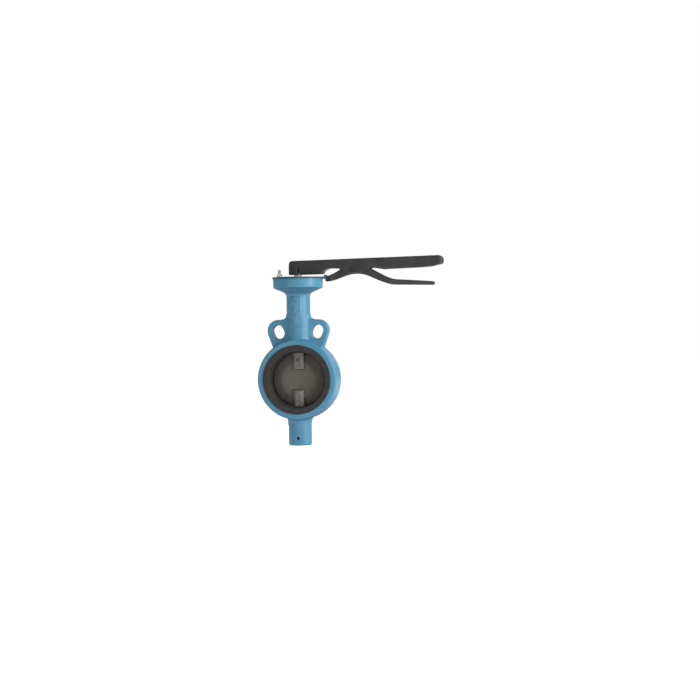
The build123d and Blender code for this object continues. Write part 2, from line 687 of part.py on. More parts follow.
# ---- lever arm: one casting, hub at the stem, channel for the trigger --------
with BuildPart() as lever_arm:
    with BuildSketch(Plane.XZ) as lever_side:
        with BuildLine():
            Polyline(
                (-lever_hub_r, lever_hub_bottom_z),
                lever_hub_top,
                (lever_end_x, lever_end_top_z),
                (lever_end_x, lever_end_bottom_z),
                grip_heel,
                grip_under_back,
                grip_under_front,
                grip_under_end,
                finger_arch,
                arch_front,
                lever_hub_foot,
                close=True,
            )
        make_face()
        rounded = {
            lever_hub_top: lever_hub_fillet,
            (lever_end_x, lever_end_top_z): lever_end_fillet,
            (lever_end_x, lever_end_bottom_z): lever_lip_fillet,
            finger_arch: finger_arch_fillet,
            arch_front: arch_front_fillet,
            grip_heel: grip_heel_fillet,
        }
        for corner, radius in rounded.items():
            fillet(lever_side.vertices().sort_by_distance((*corner, 0))[0], radius)
    extrude(amount=lever_hub_r + cutter_margin, both=True)
    with BuildSketch(Plane.XY.offset(flange_top_z)) as lever_plan:
        Circle(lever_hub_r)
        with BuildLine():
            Polyline(
                (0, lever_hub_r),
                (taper_start_x, lever_half_width),
                (taper_end_x, lever_half_width),
                (grip_start_x, grip_half_width),
                (lever_end_x, grip_half_width),
                (lever_end_x, 0),
                (0, 0),
                close=True,
            )
        make_face()
        grip_corner = lever_plan.vertices().sort_by_distance((lever_end_x, grip_half_width, 0))[0]
        fillet(grip_corner, lever_end_fillet)
        mirror(about=Plane.XZ)
    extrude(amount=lever_end_top_z - flange_top_z + cutter_margin, mode=Mode.INTERSECT)
    # a long rounded lug under each cheek carries the pivot pin and hides the trigger's hump
    with BuildSketch(Plane.XZ) as pivot_lug:
        with BuildLine():
            Polyline(
                lug_root_front,
                lug_side_front,
                lug_front,
                lug_back,
                lug_side_back,
                lug_root_back,
                close=True,
            )
        make_face()
        fillet(pivot_lug.vertices().sort_by_distance((*lug_front, 0))[0], lug_fillet)
        fillet(pivot_lug.vertices().sort_by_distance((*lug_back, 0))[0], lug_fillet)
    extrude(amount=lever_half_width - lug_inset, both=True)
    # channel, open underneath
    with BuildSketch(Plane.XY.offset(flange_top_z)) as channel:
        with Locations(((channel_start_x + channel_end_x) / 2, 0)):
            Rectangle(channel_end_x - channel_start_x, 2 * channel_half_width)
    extrude(amount=channel_ceiling_z - flange_top_z, mode=Mode.SUBTRACT)
    with BuildSketch(level_plane(spring_x, 0, channel_ceiling_z)) as spring_pocket:
        Circle(spring_r + spring_wire_r + spring_pocket_gap)
    extrude(amount=spring_pocket_z - channel_ceiling_z, mode=Mode.SUBTRACT)
    # square socket for the stem, pivot hole, set screw hole
    with BuildSketch(Plane.XY.offset(lever_hub_bottom_z - cutter_margin)) as drive_socket:
        Circle(stem_r + socket_fit)
        Rectangle(drive_square + socket_fit, drive_square + socket_fit, mode=Mode.INTERSECT)
    extrude(amount=socket_top_z - lever_hub_bottom_z + cutter_margin, mode=Mode.SUBTRACT)
    # clamp slit through the front wall of the hub, into the socket
    slit_back_y = -drive_square / 2 + cutter_margin
    with BuildSketch(front_plane(slit_x, slit_back_y, lever_hub_bottom_z)) as clamp_slit:
        Rectangle(slit_width, slit_top_z - lever_hub_bottom_z, align=(Align.CENTER, Align.MIN))
    extrude(amount=lever_hub_r, mode=Mode.SUBTRACT)
    with BuildSketch(front_plane(pivot_x, 0, pivot_z)) as pivot_hole:
        Circle(pivot_r + thread_clearance)
    extrude(amount=lever_hub_r + cutter_margin, both=True, mode=Mode.SUBTRACT)
    with BuildSketch(side_plane(0, 0, set_screw_z)) as set_screw_hole:
        Circle(fastener_r)
    extrude(amount=-lever_hub_r - cutter_margin, mode=Mode.SUBTRACT)
finish(lever_arm, "lever_arm")

# ---- lever set screw: clamps the lever on the stem's square ------------------
with BuildPart() as lever_set_screw:
    with BuildSketch(side_plane(-drive_square / 2 - socket_fit, 0, set_screw_z)) as grub:
        Circle(fastener_r - thread_clearance)
    extrude(amount=-set_screw_length)
    grub_end_x = -drive_square / 2 - socket_fit - set_screw_length
    with BuildSketch(side_plane(grub_end_x, 0, set_screw_z)) as grub_socket:
        RegularPolygon(set_screw_socket_r, 6, major_radius=False)
    extrude(amount=set_screw_socket_depth, mode=Mode.SUBTRACT)
finish(lever_set_screw, "lever_set_screw")

# ---- latch trigger: tooth, pivot hump and finger bar -------------------------
with BuildPart() as latch_trigger:
    with BuildSketch(Plane.XZ) as trigger_side:
        with BuildLine():
            under = Spline(
                tooth_foot,
                (61.0, 150.1),
                (75.0, 155.1),
                (89.0, 157.5),
                (104.0, 155.5),
                (122.0, 147.9),
                (138.0, 141.9),
                (bar_start_x, bar_start_under_z),
                tangents=[(1, 0.12), (1, -0.03)],
            )
            bar_under = Line(under @ 1, (bar_end_x, bar_end_under_z))
            bar_corner = (bar_end_x + bar_end_lean, bar_end_top_z)
            bar_end = RadiusArc(bar_under @ 1, bar_corner, -bar_end_r)
            bar_top = Line(bar_end @ 1, (bar_start_x, bar_start_top_z))
            over = Spline(
                bar_top @ 1,
                (140.0, 150.7),
                (127.0, 157.2),
                hump_back,
                tangents=[(-1, 0.08), (-1, 0.6)],
            )
            hump = Polyline(
                over @ 1,
                (hump_back_x, spring_seat_z),
                (hump_front_x, spring_seat_z),
                shin_top,
            )
            shin = Spline(
                hump @ 1,
                (58.0, 160.2),
                (50.0, 156.6),
                shin_end,
                tangents=[(-1, -0.6), (-1, -0.4)],
            )
            Polyline(
                shin @ 1,
                (nose_x + nose_depth, nose_top_z),
                (nose_x, nose_top_z),
                (nose_x, nose_bottom_z),
                (nose_x + nose_step, nose_bottom_z),
                (nose_x + nose_step, nose_step_z),
                tooth_foot,
            )
        make_face()
    extrude(amount=finger_half_width, both=True)
    with BuildSketch(Plane.XY.offset(neck_cone_z)) as trigger_plan:
        with BuildLine():
            Polyline(
                (nose_x - cutter_margin, 0),
                (nose_x - cutter_margin, pawl_half_thickness),
                (nose_x + pawl_length, pawl_half_thickness),
                (nose_x + pawl_shoulder, trigger_half_thickness),
                (finger_flare_x, trigger_half_thickness),
                (finger_full_x, finger_half_width),
                (lever_end_x, finger_half_width),
                (lever_end_x, 0),
                close=True,
            )
        make_face()
        mirror(about=Plane.XZ)
    extrude(amount=lever_end_top_z - neck_cone_z, mode=Mode.INTERSECT)
    with BuildSketch(front_plane(pivot_x, 0, pivot_z)) as trigger_hole:
        Circle(pivot_r + running_clearance)
    extrude(amount=finger_half_width + cutter_margin, both=True, mode=Mode.SUBTRACT)
finish(latch_trigger, "latch_trigger")

# ---- pivot pin with a flat head in front and a clip behind ------------------
pin_tail_y = lever_half_width + pivot_tail
with BuildPart() as pivot_pin:
    with BuildSketch(front_plane(pivot_x, pin_tail_y, pivot_z)) as pivot_shank:
        Circle(pivot_r)
    extrude(amount=pin_tail_y + lever_half_width)
    with BuildSketch(front_plane(pivot_x, -lever_half_width, pivot_z)) as pivot_head:
        Circle(pivot_head_r)
    extrude(amount=pivot_head_thickness)
    with BuildSketch(front_plane(pivot_x, lever_half_width + clip_groove_y, pivot_z)) as clip_groove:
        Circle(pivot_r + cutter_margin)
        Circle(pivot_r - clip_groove_depth, mode=Mode.SUBTRACT)
    extrude(amount=clip_groove_width, mode=Mode.SUBTRACT)
    chamfer(pivot_pin.faces().sort_by(Axis.Y)[0].edges(), pin_edge)
finish(pivot_pin, "trigger_pivot_pin")

with BuildPart() as pivot_clip:
    with BuildSketch(front_plane(pivot_x, lever_half_width + pivot_clip_y, pivot_z)) as clip_ring:
        Circle(pivot_clip_r)
        Circle(pivot_r - pivot_clip_bore_inset, mode=Mode.SUBTRACT)
        with Locations((0, -clip_mouth_z)):
            Rectangle(clip_mouth_width, clip_mouth_height, mode=Mode.SUBTRACT)
    extrude(amount=pivot_clip_thickness)
finish(pivot_clip, "pivot_pin_clip")

# ---- latch spring: pushes the finger bar down and the tooth up ---------------
with BuildPart() as latch_spring:
    spring_height = spring_pocket_z - spring_seat_z - 2 * (spring_wire_r + spring_end_gap)
    with BuildLine(level_plane(spring_x, 0, spring_seat_z + spring_wire_r + spring_end_gap)):
        coil = Helix(spring_height / spring_turns, spring_height, spring_r)
    with BuildSketch(Plane(coil @ 0, z_dir=coil % 0)):
        Circle(spring_wire_r)
    sweep(path=coil, is_frenet=True)
finish(latch_spring, "latch_spring")
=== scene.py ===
import json
import math

import bpy
import bmesh
import numpy as np
from mathutils import Matrix, Vector


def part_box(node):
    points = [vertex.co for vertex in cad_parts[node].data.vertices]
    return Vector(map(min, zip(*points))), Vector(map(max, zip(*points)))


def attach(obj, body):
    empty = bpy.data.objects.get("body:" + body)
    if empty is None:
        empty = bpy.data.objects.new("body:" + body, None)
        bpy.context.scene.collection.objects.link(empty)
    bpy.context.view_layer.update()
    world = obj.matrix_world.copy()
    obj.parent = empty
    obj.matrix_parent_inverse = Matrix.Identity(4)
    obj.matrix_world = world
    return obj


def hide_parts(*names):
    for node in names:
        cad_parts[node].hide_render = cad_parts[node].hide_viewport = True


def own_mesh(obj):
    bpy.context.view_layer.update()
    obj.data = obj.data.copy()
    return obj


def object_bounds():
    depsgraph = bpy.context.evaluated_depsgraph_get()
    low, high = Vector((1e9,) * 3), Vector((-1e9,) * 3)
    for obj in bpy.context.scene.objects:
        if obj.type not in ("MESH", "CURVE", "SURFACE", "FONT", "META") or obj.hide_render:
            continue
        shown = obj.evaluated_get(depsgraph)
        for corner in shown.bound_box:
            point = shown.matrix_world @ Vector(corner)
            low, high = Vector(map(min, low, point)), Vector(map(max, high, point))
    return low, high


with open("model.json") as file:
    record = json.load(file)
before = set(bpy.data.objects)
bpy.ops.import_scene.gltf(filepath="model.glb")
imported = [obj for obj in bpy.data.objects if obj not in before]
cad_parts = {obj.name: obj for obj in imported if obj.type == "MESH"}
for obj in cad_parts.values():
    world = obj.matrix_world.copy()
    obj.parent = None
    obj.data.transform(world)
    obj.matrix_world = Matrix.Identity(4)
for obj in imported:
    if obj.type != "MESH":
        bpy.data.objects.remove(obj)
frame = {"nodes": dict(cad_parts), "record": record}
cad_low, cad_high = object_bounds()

# A wafer butterfly valve with a notched hand lever. Metres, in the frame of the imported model:
# the origin is the centre of the bore, Y is the pipe's axis, Z runs up the stem,
# and the closed lever points along +X.
MM = 0.001
PLATE_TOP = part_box("notch_plate")[1].z

# the cast pad on the front of the upper neck
PAD_MIDDLE = 109 * MM
PAD_HALF = 15 * MM
PAD_WIDTH_HALF = 7 * MM
PAD_RISE = 0.7 * MM
PAD_EDGE = 1.2 * MM
PAD_BACK_Y = -8 * MM
PAD_COARSE_DROP = 4 * MM

# the faceted hub of the disc
HUB_HALF_WIDTH = 8.6 * MM
HUB_INNER_END = 16 * MM
HUB_SHOULDER = 6.5 * MM
FACET_START = 4.2 * MM

# M5 fasteners and the latch spring
THREAD_R = 2.5 * MM
THREAD_PITCH = 0.8 * MM
THREAD_DEPTH = 0.40 * MM
THREAD_SLACK = 0.02 * MM
NUT_SLACK = 0.03 * MM
WASHER_SLACK = 0.2 * MM
HEAD_HEIGHT = 3.5 * MM
SPRING_WIRE_R = 0.4 * MM
SPRING_TURNS = 6.5
SPRING_CLOSED_TURNS = 0.75

# base colours, linear
BLUE_DEEP = (0.042, 0.172, 0.272)
BLUE_PALE = (0.055, 0.200, 0.308)
BLUE_THIN = (0.11, 0.29, 0.42)
# painted shade and light: BLUE_SHADE for shade under the casting and in its corners, and the next two
# for lit raised spots and shaded hollows on the pad
BLUE_SHADE = (0.020, 0.085, 0.145)
BLUE_RAISED_LIT = (0.105, 0.285, 0.400)
BLUE_HOLLOW_SHADE = (0.016, 0.082, 0.142)
RUBBER_DARK = (0.021, 0.018, 0.018)
RUBBER_BLOOM = (0.036, 0.031, 0.031)
DISC_DARK = (0.052, 0.044, 0.036)
DISC_PALE = (0.082, 0.070, 0.059)
# painted light and shade on the disc, in the next four: a lit middle, shade round the feet of the
# bosses, lit bosses and a lit facet
DISC_MIDDLE_LIT = (0.110, 0.098, 0.085)
DISC_FOOT_SHADE = (0.016, 0.013, 0.011)
DISC_HUB_LIT = (0.130, 0.124, 0.112)
DISC_FACET_LIT = (0.260, 0.250, 0.232)
DISC_CHIP = (0.24, 0.23, 0.215)
DISC_RUBBED = (0.26, 0.25, 0.235)
# painted shade in the disc's hollow corners
DISC_CORNER_SHADE = (0.014, 0.011, 0.010)
BLACK_DARK = (0.016, 0.016, 0.0165)
BLACK_LIGHT = (0.026, 0.026, 0.0265)
BLACK_RUBBED = (0.085, 0.085, 0.085)
ZINC = (0.78, 0.78, 0.77)
STAMPED_DULL = (0.50, 0.50, 0.50)
STAMPED_BRIGHT = (0.62, 0.62, 0.61)
STAMPED_STAIN = (0.26, 0.27, 0.29)
# painted shade on the notch plate's edges
PLATE_EDGE_SHADE = (0.030, 0.048, 0.065)
STAINLESS = (0.42, 0.42, 0.41)
SPRING_GREY = (0.26, 0.26, 0.27)
BLACKENED = (0.055, 0.055, 0.058)
BRONZE = (0.55, 0.38, 0.18)
DULL_PIN = (0.13, 0.125, 0.115)
FLOOR_DARK = (0.56, 0.56, 0.56)
FLOOR_PALE = (0.60, 0.60, 0.595)

# small pieces that keep their CAD shape: name, node, voxel, body, slot
SMALL_PARTS = [
    ("pivot_pin_headed", "trigger_pivot_pin", 0.18 * MM, "lever", "black_steel"),
    ("pivot_clip_pressed", "pivot_pin_clip", 0.12 * MM, "lever", "spring_steel"),
    ("set_screw_socket", "lever_set_screw", 0.14 * MM, "lever", "black_steel"),
    ("plate_screw_socket", "plate_screw", 0.18 * MM, "body", "zinc_steel"),
    ("bottom_plug_socket", "bottom_plug", 0.24 * MM, "body", "zinc_steel"),
    ("circlip_pressed", "stem_circlip", 0.16 * MM, "lever", "spring_steel"),
]
# pins whose ends show: name, node, body, slot
DULL_PINS = [
    ("taper_pin_driven", "disc_taper_pin", "lever", "stainless_steel"),
    ("neck_pin_driven", "lower_stem_pin", "body", "zinc_steel"),
]
DULL_PIN_VOXEL = 0.16 * MM


# ---- camera, floor and light -------------------------------------------------
CAMERA_AZIMUTH = math.radians(12.5)
CAMERA_DISTANCE = 2.5
CAMERA_HEIGHT = 0.057
CAMERA_ROLL = math.radians(0.94)
CAMERA_TARGET = Vector((0.0783, 0.0, 0.0434))
CAMERA_LENS = 85.1
FLOOR_HEIGHT = cad_low.z - 0.4 * MM
FLOOR_REACH = 14.0
ROOM_LIGHT = 0.28
ROOM_TINT = (0.96, 0.98, 1.0, 1)
FLOOR_GLOW = 0.86
LIGHTS_FACE = (0.06, 0.0, 0.05)
# name, place, width, height, watts
SOFT_BOXES = [
    ("key", (1.85, -0.60, 0.70), 0.45, 1.3, 44.0),
    ("fill", (-0.8, -1.9, 0.5), 1.2, 1.2, 5.0),
    ("top", (0.1, -0.2, 1.7), 1.4, 1.0, 9.0),
    ("back", (0.6, 1.6, 0.9), 1.2, 1.0, 5.0),
]


def place_camera():
    """A long lens a little to the right of the front face, level with the ring."""
    across = CAMERA_DISTANCE * math.sin(CAMERA_AZIMUTH)
    back = -CAMERA_DISTANCE * math.cos(CAMERA_AZIMUTH)
    eye = Vector((across, back, CAMERA_HEIGHT))
    ahead = (CAMERA_TARGET - eye).normalized()
    right = ahead.cross(Vector((0, 0, 1))).normalized()
    up = right.cross(ahead)
    tilted_right = right * math.cos(CAMERA_ROLL) - up * math.sin(CAMERA_ROLL)
    tilted_up = right * math.sin(CAMERA_ROLL) + up * math.cos(CAMERA_ROLL)
    turn = Matrix((tilted_right, tilted_up, -ahead)).transposed().to_4x4()
    lens = bpy.data.cameras.new("camera")
    lens.lens = CAMERA_LENS
    lens.clip_start = 0.05
    lens.clip_end = 60.0
    camera = bpy.data.objects.new("camera", lens)
    camera.matrix_world = Matrix.Translation(eye) @ turn
    bpy.context.scene.collection.objects.link(camera)
    bpy.context.scene.camera = camera


def soft_box(name, at, towards, width, height, watts):
    """A rectangular studio light that faces a point."""
    lamp = bpy.data.lights.new(name, "AREA")
    lamp.shape = "RECTANGLE"
    lamp.size = width
    lamp.size_y = height
    lamp.energy = watts
    box = bpy.data.objects.new(name, lamp)
    box.location = at
    box.rotation_mode = "QUATERNION"
    box.rotation_quaternion = (Vector(towards) - Vector(at)).to_track_quat("-Z", "Y")
    bpy.context.scene.collection.objects.link(box)


def light_studio():
    """A white room that lights weakly, a key from the right, and a fill, a top and a back light."""
    scene = bpy.context.scene
    scene.view_settings.view_transform = "Standard"
    scene.render.film_transparent = False
    room = bpy.data.worlds.new("room")
    room.use_nodes = True
    tree = room.node_tree
    tree.nodes.clear()
    seen = tree.nodes.new("ShaderNodeBackground")
    seen.inputs["Color"].default_value = (1, 1, 1, 1)
    seen.inputs["Strength"].default_value = 1.0
    lit = tree.nodes.new("ShaderNodeBackground")
    lit.inputs["Color"].default_value = ROOM_TINT
    lit.inputs["Strength"].default_value = ROOM_LIGHT
    path = tree.nodes.new("ShaderNodeLightPath")
    mix = tree.nodes.new("ShaderNodeMixShader")
    out = tree.nodes.new("ShaderNodeOutputWorld")
    tree.links.new(path.outputs["Is Camera Ray"], mix.inputs[0])
    tree.links.new(lit.outputs[0], mix.inputs[1])
    tree.links.new(seen.outputs[0], mix.inputs[2])
    tree.links.new(mix.outputs[0], out.inputs["Surface"])
    scene.world = room
    for name, at, width, height, watts in SOFT_BOXES:
        soft_box(name, at, LIGHTS_FACE, width, height, watts)


def lay_floor():
    """A wide pale floor, just under the lower neck."""
    shape = bmesh.new()
    corners = [(-1, -1), (1, -1), (1, 1), (-1, 1)]
    points = [(x * FLOOR_REACH, y * FLOOR_REACH, FLOOR_HEIGHT) for x, y in corners]
    shape.faces.new([shape.verts.new(point) for point in points])
    mesh = bpy.data.meshes.new("floor")
    shape.to_mesh(mesh)
    shape.free()
    floor = bpy.data.objects.new("floor", mesh)
    bpy.context.scene.collection.objects.link(floor)
    floor.data.materials.append(pale_floor())


# ---- finishes ----------------------------------------------------------------
class Value:
    """A number that changes over a surface: a node's socket with Python's arithmetic."""

    def __init__(self, finish, socket):
        self.finish = finish
        self.socket = socket

    def sum(self, operation, *terms):
        return self.finish.sum_of(operation, *terms)

    def __add__(self, other):
        return self.sum("ADD", self, other)

    def __sub__(self, other):
        return self.sum("SUBTRACT", self, other)

    def __rsub__(self, other):
        return self.sum("SUBTRACT", other, self)

    def __mul__(self, other):
        return self.sum("MULTIPLY", self, other)

    def __pow__(self, other):
        return self.sum("POWER", self, other)

    __radd__ = __add__
    __rmul__ = __mul__

    def most(self, other):
        return self.sum("MAXIMUM", self, other)

    def step(self, low, high):
        """0 below low, 1 above high, smooth between."""
        sockets = {"Value": self, "From Min": low, "From Max": high}
        return self.finish.node("MapRange", {"interpolation_type": "SMOOTHSTEP"}, sockets)


class Finish:
    """One material, built from nodes."""

    def __init__(self, name):
        self.material = bpy.data.materials.new(name)
        self.material.use_nodes = True
        self.tree = self.material.node_tree
        self.tree.nodes.clear()

    def node(self, kind, settings, sockets, output=0):
        """Any node: its settings first, then the values or links of its sockets."""
        made = self.tree.nodes.new("ShaderNode" + kind)
        for name, value in settings.items():
            setattr(made, name, value)
        for name, value in sockets.items():
            if isinstance(value, Value):
                self.tree.links.new(value.socket, made.inputs[name])
            else:
                made.inputs[name].default_value = value
        return Value(self, made.outputs[output])

    def place(self):
        """Where a point lies on the piece, in metres."""
        return self.node("TexCoord", {}, {}, "Object")

    def edge(self):
        """Over 0.5 on outer edges, under 0.5 in corners."""
        return self.node("NewGeometry", {}, {}, "Pointiness")

    def along(self, axis):
        """One coordinate of the place, in metres."""
        return self.node("SeparateXYZ", {}, {0: self.place()}, axis)

    def facing(self, axis):
        """How far a surface faces along an axis, from -1 to 1."""
        return self.node("SeparateXYZ", {}, {0: self.node("NewGeometry", {}, {}, "Normal")}, axis)

    def within(self, axis, centre, half, soft):
        """1 within half of a centre along an axis, 0 beyond soft more."""
        off = self.sum_of("ABSOLUTE", self.along(axis) - centre)
        return 1 - off.step(half, half + soft)

    def sum_of(self, operation, *terms):
        """One Math node."""
        return self.node("Math", {"operation": operation}, dict(enumerate(terms)))

    def speckle(self, size, detail=3.0, harshness=0.5, stretch=(1, 1, 1)):
        """Cloudy noise from 0 to 1, with blotches of a size in metres."""
        spread = self.node("VectorMath", {"operation": "MULTIPLY"}, {0: self.place(), 1: stretch})
        sockets = {"Vector": spread, "Scale": 1 / size, "Detail": detail, "Roughness": harshness}
        return self.node("TexNoise", {}, sockets)

    def tint(self, share, first, second):
        """A colour between two colours."""
        settings = {"data_type": "RGBA"}
        return self.node("Mix", settings, {0: share, 6: full(first), 7: full(second)}, 2)

    def relief(self, height, depth, under=None):
        """A bump from a height of 0 to 1 and a depth in metres."""
        sockets = {"Height": height, "Distance": depth, "Strength": 1.0}
        if under is not None:
            sockets["Normal"] = under
        return self.node("Bump", {}, sockets)

    def done(self, sockets):
        """The shader and its output."""
        shader = self.node("BsdfPrincipled", {}, sockets)
        end = self.tree.nodes.new("ShaderNodeOutputMaterial")
        self.tree.links.new(shader.socket, end.inputs["Surface"])
        return self.material


def full(colour):
    """A colour with its alpha, or a link as it is."""
    return colour if isinstance(colour, Value) else (*colour, 1.0)


def pale_floor():
    finish = Finish("pale_floor")
    cloud = finish.speckle(0.6)
    return finish.done({
        "Base Color": finish.tint(cloud, FLOOR_DARK, FLOOR_PALE),
        "Roughness": 0.9,
        "Specular IOR Level": 0.1,
        "Emission Color": (1, 1, 1, 1),
        "Emission Strength": FLOOR_GLOW,
    })


def blue_epoxy():
    """Sprayed epoxy over sand-cast iron, with painted shade under it and in its corners, and painted
    light and shade on the cast pad.
    """
    finish = Finish("blue_epoxy")
    cloud = finish.speckle(0.030, 4.0)
    orange_peel = finish.speckle(0.0022, 2.0)
    sand = finish.speckle(0.0009, 3.0, 0.6)
    swell = finish.speckle(0.012, 2.0)
    edge = finish.edge().step(0.53, 0.62)
    corner = 1 - finish.edge().step(0.40, 0.49)
    coarse_middle = PAD_MIDDLE - PAD_COARSE_DROP
    pad = finish.within(0, 0.0, 5 * MM, 7 * MM) * finish.within(2, coarse_middle, PAD_HALF, 9 * MM)
    mottle = pad * (1 - finish.along(1).step(-12 * MM, -6 * MM))
    cast = finish.speckle(0.0046, 3.0, 0.55, (1, 1, 0.7)).step(0.36, 0.68)
    base = finish.tint(cloud.step(0.3, 0.7), BLUE_DEEP, BLUE_PALE)
    thin = finish.tint(edge * 0.35, base, BLUE_THIN)
    # painted shade: surfaces that face down and hollow corners are darkened towards BLUE_SHADE
    under = 1 - finish.facing(2).step(-0.90, -0.10)
    shaded = finish.tint((corner * 0.45).most(under * 0.75), thin, BLUE_SHADE)
    hollow = finish.speckle(0.0034, 3.0, 0.65).step(0.42, 0.72)
    # painted light and shade on the cast pad: raised spots lightened as lit, hollows darkened as shade
    raised = finish.tint(mottle * cast * 0.42, shaded, BLUE_RAISED_LIT)
    hollows_shaded = finish.tint(mottle * hollow * 0.72, raised, BLUE_HOLLOW_SHADE)
    height = orange_peel * 0.35 + sand * 0.2 + swell * 0.9 + mottle * (cast - hollow) * 1.4
    return finish.done({
        "Base Color": hollows_shaded,
        "Roughness": 0.39 + cloud * 0.10 + orange_peel * 0.06 + under * 0.35,
        "Specular IOR Level": 0.42,
        "Normal": finish.relief(height, 0.18 * MM),
        "Coat Weight": 0.08 - under * 0.08,
        "Coat Roughness": 0.24,
    })


def liner_rubber():
    """Moulded rubber, matt, with a little bloom."""
    finish = Finish("liner_rubber")
    cloud = finish.speckle(0.010, 4.0)
    grain = finish.speckle(0.0006, 2.0)
    bloom = cloud.step(0.45, 0.75)
    return finish.done({
        "Base Color": finish.tint(bloom * 0.6, RUBBER_DARK, RUBBER_BLOOM),
        "Roughness": 0.56 + cloud * 0.14,
        "Normal": finish.relief(grain + cloud * 0.5, 0.05 * MM),
        "Specular IOR Level": 0.30,
    })


def disc_coat():
    """Grey-brown coated iron with the mould's texture, with painted light and shade: a lighter middle,
    lit bosses and facets, and shade round the bosses and in corners.
    """
    finish = Finish("disc_coat")
    cloud = finish.speckle(0.009, 4.0)
    sand = finish.speckle(0.0011, 3.0, 0.65)
    edge = finish.edge().step(0.505, 0.55)
    # painted shade: the disc's hollow corners darkened
    corner_shade = 1 - finish.edge().step(0.44, 0.495)
    out = (finish.along(0) ** 2 + finish.along(2) ** 2) ** 0.5
    middle = 1 - out.step(12 * MM, 33 * MM)
    high = finish.sum_of("ABSOLUTE", finish.along(2))
    hub = finish.within(0, 0.0, HUB_HALF_WIDTH, 0.4 * MM)
    hub = hub * high.step(HUB_INNER_END - 0.4 * MM, HUB_INNER_END + 0.4 * MM)
    hub = hub * finish.sum_of("ABSOLUTE", finish.along(1)).step(HUB_SHOULDER, HUB_SHOULDER + 0.7 * MM)
    base = finish.tint(cloud.step(0.25, 0.75), DISC_DARK, DISC_PALE)
    # painted light: the middle of the disc lighter, its rim darker as in shade
    plateau_lit = finish.tint(middle * 0.80, base, DISC_MIDDLE_LIT)
    # painted shade: a dark line round the foot of each boss
    hub_foot_shade = finish.within(0, 0.0, HUB_HALF_WIDTH + 0.4 * MM, 1.8 * MM) * (1 - hub)
    hub_foot_shade = hub_foot_shade * high.step(HUB_INNER_END - 1.8 * MM, HUB_INNER_END - 0.4 * MM)
    foot_shaded = finish.tint(hub_foot_shade * 0.80, plateau_lit, DISC_FOOT_SHADE)
    # painted highlight: the bosses lighter, and their right-hand facets lighter still, as lit
    lit_facet = hub * finish.along(0).step(FACET_START, FACET_START + 1 * MM)
    faces = finish.tint(hub * 0.55, foot_shaded, DISC_HUB_LIT)
    faces = finish.tint(lit_facet * 0.75, faces, DISC_FACET_LIT)
    chips = hub * finish.speckle(0.0028, 4.0, 0.7).step(0.50, 0.62)
    chipped = finish.tint(chips * 0.55, faces, DISC_CHIP)
    rubbed = finish.tint(edge * 0.60, chipped, DISC_RUBBED)
    return finish.done({
        "Base Color": finish.tint(corner_shade * 0.8, rubbed, DISC_CORNER_SHADE),
        "Roughness": 0.50 + cloud * 0.14,
        "Specular IOR Level": 0.35,
        "Normal": finish.relief(sand * 0.8 + cloud * 0.6, 0.10 * MM),
    })


def black_paint(name, lightness=1.0):
    """Satin black over a casting, a little rubbed on its edges."""
    finish = Finish(name)
    cloud = finish.speckle(0.020, 4.0)
    sand = finish.speckle(0.0010, 3.0, 0.6)
    edge = finish.edge().step(0.54, 0.63)
    dark = tuple(c * lightness for c in BLACK_DARK)
    light = tuple(c * lightness for c in BLACK_LIGHT)
    base = finish.tint(cloud.step(0.3, 0.7), dark, light)
    rub = edge * finish.speckle(0.004, 3.0).step(0.45, 0.65)
    return finish.done({
        "Base Color": finish.tint(rub * 0.45, base, BLACK_RUBBED),
        "Roughness": 0.44 + cloud * 0.14,
        "Specular IOR Level": 0.32,
        "Normal": finish.relief(sand * 0.7 + cloud, 0.10 * MM),
    })


def zinc_plate(name, colour=ZINC, roughness=0.42, lines=(1, 1, 1)):
    """Bright zinc on steel: faint cloudy passivation and fine scratches."""
    finish = Finish(name)
    cloud = finish.speckle(0.006, 4.0)
    scratches = finish.speckle(0.0012, 2.0, 0.5, lines)
    dull = tuple(c * 0.80 for c in colour)
    return finish.done({
        "Base Color": finish.tint(cloud.step(0.3, 0.7), dull, colour),
        "Roughness": roughness + cloud * 0.14 + scratches * 0.06,
        "Metallic": 1.0,
        "Normal": finish.relief(scratches, 0.02 * MM),
    })


def stamped_zinc():
    """The notch plate: bright face, with painted shade on its edges for the shadow line under it."""
    finish = Finish("stamped_zinc")
    cloud = finish.speckle(0.008, 4.0)
    scratches = finish.speckle(0.0014, 2.0, 0.5, (1, 6, 1))
    stain = finish.speckle(0.016, 3.0).step(0.50, 0.70)
    face = finish.along(2).step(PLATE_TOP - 0.55 * MM, PLATE_TOP - 0.20 * MM)
    bright = finish.tint(cloud.step(0.3, 0.7), STAMPED_DULL, STAMPED_BRIGHT)
    dulled = finish.tint(stain * 0.35, bright, STAMPED_STAIN)
    return finish.done({
        # painted shade: everything below the top face is dark, for the shadow line under the plate
        "Base Color": finish.tint(face, PLATE_EDGE_SHADE, dulled),
        "Roughness": 0.42 + cloud * 0.16 + scratches * 0.06,
        "Metallic": face * 0.9,
        "Normal": finish.relief(scratches, 0.02 * MM),
    })


# ---- shapes ------------------------------------------------------------------
def new_piece(name, mesh, material, body, slot, *nodes):
    """A finished piece: it rides on a body and stands for CAD nodes."""
    piece = bpy.data.objects.new(name, mesh)
    bpy.context.scene.collection.objects.link(piece)
    mesh.materials.clear()
    mesh.materials.append(material)
    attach(piece, body)
    if nodes:
        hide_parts(*nodes)
    return piece


def applied(mesh, *modifiers):
    """The mesh with modifiers applied; each is a type and its settings."""
    holder = bpy.data.objects.new("holder", mesh)
    bpy.context.scene.collection.objects.link(holder)
    for kind, settings in modifiers:
        modifier = holder.modifiers.new(kind.lower(), kind)
        for name, value in settings.items():
            setattr(modifier, name, value)
    graph = bpy.context.evaluated_depsgraph_get()
    graph.update()
    result = bpy.data.meshes.new_from_object(holder.evaluated_get(graph))
    bpy.data.objects.remove(holder)
    return result


